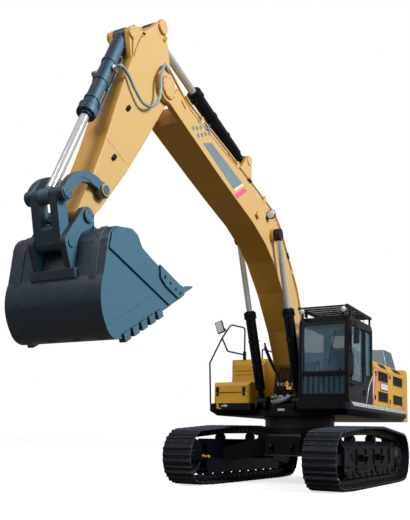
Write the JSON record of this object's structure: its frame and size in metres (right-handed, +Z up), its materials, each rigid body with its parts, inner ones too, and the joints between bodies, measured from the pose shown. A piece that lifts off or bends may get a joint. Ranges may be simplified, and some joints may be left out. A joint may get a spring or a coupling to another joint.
{
  "type": "crawler excavator",
  "caption": "Tracked hydraulic excavator with cab, slewing upperstructure, boom, arm and a digging bucket worked by hydraulic cylinders.",
  "frame": {"origin": "on the ground under the slewing axis", "axes": "+X forward along the tracks, +Y to the machine's left, +Z up"},
  "size_m": [11.6254, 3.376, 6.7528],
  "materials": {
    "yellow_paint": "gloss",
    "black_paint": "satin",
    "bucket_grey": "satin",
    "track_steel": "rough",
    "bearing_steel": "satin",
    "chrome_rod": "polished",
    "engine_iron": "rough",
    "cab_glass": "clear",
    "hose_rubber": "satin",
    "seat_fabric": "matt",
    "hood_grey": "satin"
  },
  "bodies": {
    "undercarriage": {"carbody": "black_paint", "slew_bearing": "bearing_steel", "track_frame_left": "black_paint", "track_frame_right": "black_paint", "track_left": "track_steel", "track_right": "track_steel", "idlers": "track_steel", "sprockets": "track_steel", "track_rollers": "track_steel", "carrier_rollers": "track_steel"},
    "bucket": {"bucket": "bucket_grey", "bucket_teeth": "bucket_grey"},
    "cab_door": {"cab_door": "black_paint", "door_glass": "cab_glass"},
    "boom": {"boom": "yellow_paint", "boom_pipes": "black_paint", "arm_hose_left": "hose_rubber", "arm_hose_right": "hose_rubber"},
    "arm": {"arm": "yellow_paint"},
    "rockers": {"rockers": "bucket_grey"},
    "bucket_link": {"bucket_link": "bucket_grey"},
    "boom_cylinder_left": {"boom_cylinder_left": "black_paint"},
    "boom_cylinder_right": {"boom_cylinder_right": "black_paint"},
    "boom_rod_left": {"boom_rod_left": "chrome_rod"},
    "boom_rod_right": {"boom_rod_right": "chrome_rod"},
    "arm_cylinder": {"arm_cylinder": "black_paint"},
    "arm_rod": {"arm_rod": "chrome_rod"},
    "bucket_cylinder": {"bucket_cylinder": "bucket_grey"},
    "bucket_rod": {"bucket_rod": "chrome_rod"},
    "side_door_front": {"side_door_front": "yellow_paint"},
    "side_door_rear": {"side_door_rear": "yellow_paint"},
    "pump_door": {"pump_door": "yellow_paint"},
    "hood_lid": {"hood_lid": "hood_grey"},
    "toolbox_lid": {"toolbox_lid": "yellow_paint"},
    "upperstructure": {"revolving_frame": "black_paint", "counterweight": "yellow_paint", "engine": "engine_iron", "engine_hood": "yellow_paint", "fuel_tank": "yellow_paint", "hydraulic_tank": "yellow_paint", "toolbox": "yellow_paint", "handrail": "black_paint", "cab": "black_paint", "cab_glass": "cab_glass", "cab_guard": "black_paint", "cab_interior": "seat_fabric", "swing_drive": "black_paint"}
  },
  "joints": [
    {"name": "swing", "type": "hinge", "parent": "undercarriage", "child": "upperstructure", "pos_m": [0, 0, 1.29], "axis": [0, 0, 1], "continuous": true},
    {"name": "boom_lift", "type": "hinge", "parent": "upperstructure", "child": "boom", "pos_m": [0.371, 0, 2.252], "axis": [0, -1, 0], "range_deg": [-75, 27]},
    {"name": "arm_curl", "type": "hinge", "parent": "boom", "child": "arm", "pos_m": [5.85334, 0, 5.78107], "axis": [0, -1, 0], "range_deg": [-57, 60], "deforming": ["arm_hose_left", "arm_hose_right"]},
    {"name": "bucket_curl", "type": "hinge", "parent": "arm", "child": "bucket", "pos_m": [7.497, 0, 3.41616], "axis": [0, -1, 0], "range_deg": [-30, 130]},
    {"name": "rocker_turn", "type": "hinge", "parent": "arm", "child": "rockers", "pos_m": [7.21735, 0, 3.81852], "axis": [0, -1, 0], "range_deg": [-20.2, 87.52]},
    {"name": "link_turn", "type": "hinge", "parent": "rockers", "child": "bucket_link", "pos_m": [7.87372, 0, 3.57325], "axis": [0, -1, 0], "range_deg": [-55.16, 12.73]},
    {"name": "boom_cylinder_left_turn", "type": "hinge", "parent": "upperstructure", "child": "boom_cylinder_left", "pos_m": [1.02, 0.4, 1.62], "axis": [0, -1, 0], "range_deg": [-78.45, 28.24]},
    {"name": "boom_rod_left_slide", "type": "slide", "parent": "boom_cylinder_left", "child": "boom_rod_left", "axis": [0.3542, 0, 0.9352], "range_m": [-1.1213, 0.4037]},
    {"name": "boom_cylinder_right_turn", "type": "hinge", "parent": "upperstructure", "child": "boom_cylinder_right", "pos_m": [1.02, -0.4, 1.62], "axis": [0, -1, 0], "range_deg": [-78.45, 28.24]},
    {"name": "boom_rod_right_slide", "type": "slide", "parent": "boom_cylinder_right", "child": "boom_rod_right", "axis": [0.3542, 0, 0.9352], "range_m": [-1.1213, 0.4037]},
    {"name": "arm_cylinder_turn", "type": "hinge", "parent": "boom", "child": "arm_cylinder", "pos_m": [2.95246, 0, 5.81656], "axis": [0, -1, 0], "range_deg": [-3.95, 4.16]},
    {"name": "arm_rod_slide", "type": "slide", "parent": "arm_cylinder", "child": "arm_rod", "axis": [0.9618, 0, 0.2737], "range_m": [-0.8145, 0.7738]},
    {"name": "bucket_cylinder_turn", "type": "hinge", "parent": "arm", "child": "bucket_cylinder", "pos_m": [6.60929, 0, 6.20904], "axis": [0, -1, 0], "range_deg": [-1.4, 6.06]},
    {"name": "bucket_rod_slide", "type": "slide", "parent": "bucket_cylinder", "child": "bucket_rod", "axis": [0.4325, 0, -0.9016], "range_m": [-0.9481, 0.2188]},
    {"name": "cab_door_swing", "type": "hinge", "parent": "upperstructure", "child": "cab_door", "pos_m": [0.6175, 1.575, 2.3], "axis": [0, 0, 1], "range_deg": [0, 160]},
    {"name": "side_door_front_swing", "type": "hinge", "parent": "upperstructure", "child": "side_door_front", "pos_m": [-1.5025, 1.515, 1.9], "axis": [0, 0, 1], "range_deg": [0, 100]},
    {"name": "side_door_rear_swing", "type": "hinge", "parent": "upperstructure", "child": "side_door_rear", "pos_m": [-2.9025, 1.515, 1.9], "axis": [0, 0, 1], "range_deg": [0, 100]},
    {"name": "pump_door_swing", "type": "hinge", "parent": "upperstructure", "child": "pump_door", "pos_m": [-2.9025, -1.515, 1.9], "axis": [0, 0, -1], "range_deg": [0, 100]},
    {"name": "hood_lid_swing", "type": "hinge", "parent": "upperstructure", "child": "hood_lid", "pos_m": [-1.984, 0, 2.6], "axis": [0, 1, 0], "range_deg": [0, 50]},
    {"name": "toolbox_lid_swing", "type": "hinge", "parent": "upperstructure", "child": "toolbox_lid", "pos_m": [0.436, -1.0275, 2.045], "axis": [0, -1, 0], "range_deg": [0, 70]}
  ],
  "couplings": [
    {"joint": "rocker_turn", "follows": "bucket_curl", "ratio": 0.66},
    {"joint": "link_turn", "follows": "bucket_curl", "ratio": -0.416},
    {"joint": "boom_cylinder_left_turn", "follows": "boom_lift", "ratio": 1.0255},
    {"joint": "boom_rod_left_slide", "follows": "boom_lift", "m_per_rad": 0.84816},
    {"joint": "boom_cylinder_right_turn", "follows": "boom_lift", "ratio": 1.0255},
    {"joint": "boom_rod_right_slide", "follows": "boom_lift", "m_per_rad": 0.84816},
    {"joint": "arm_cylinder_turn", "follows": "arm_curl", "ratio": 0.067963},
    {"joint": "arm_rod_slide", "follows": "arm_curl", "m_per_rad": -0.77009},
    {"joint": "bucket_cylinder_turn", "follows": "bucket_curl", "ratio": 0.045732},
    {"joint": "bucket_rod_slide", "follows": "bucket_curl", "m_per_rad": -0.4137}
  ]
}
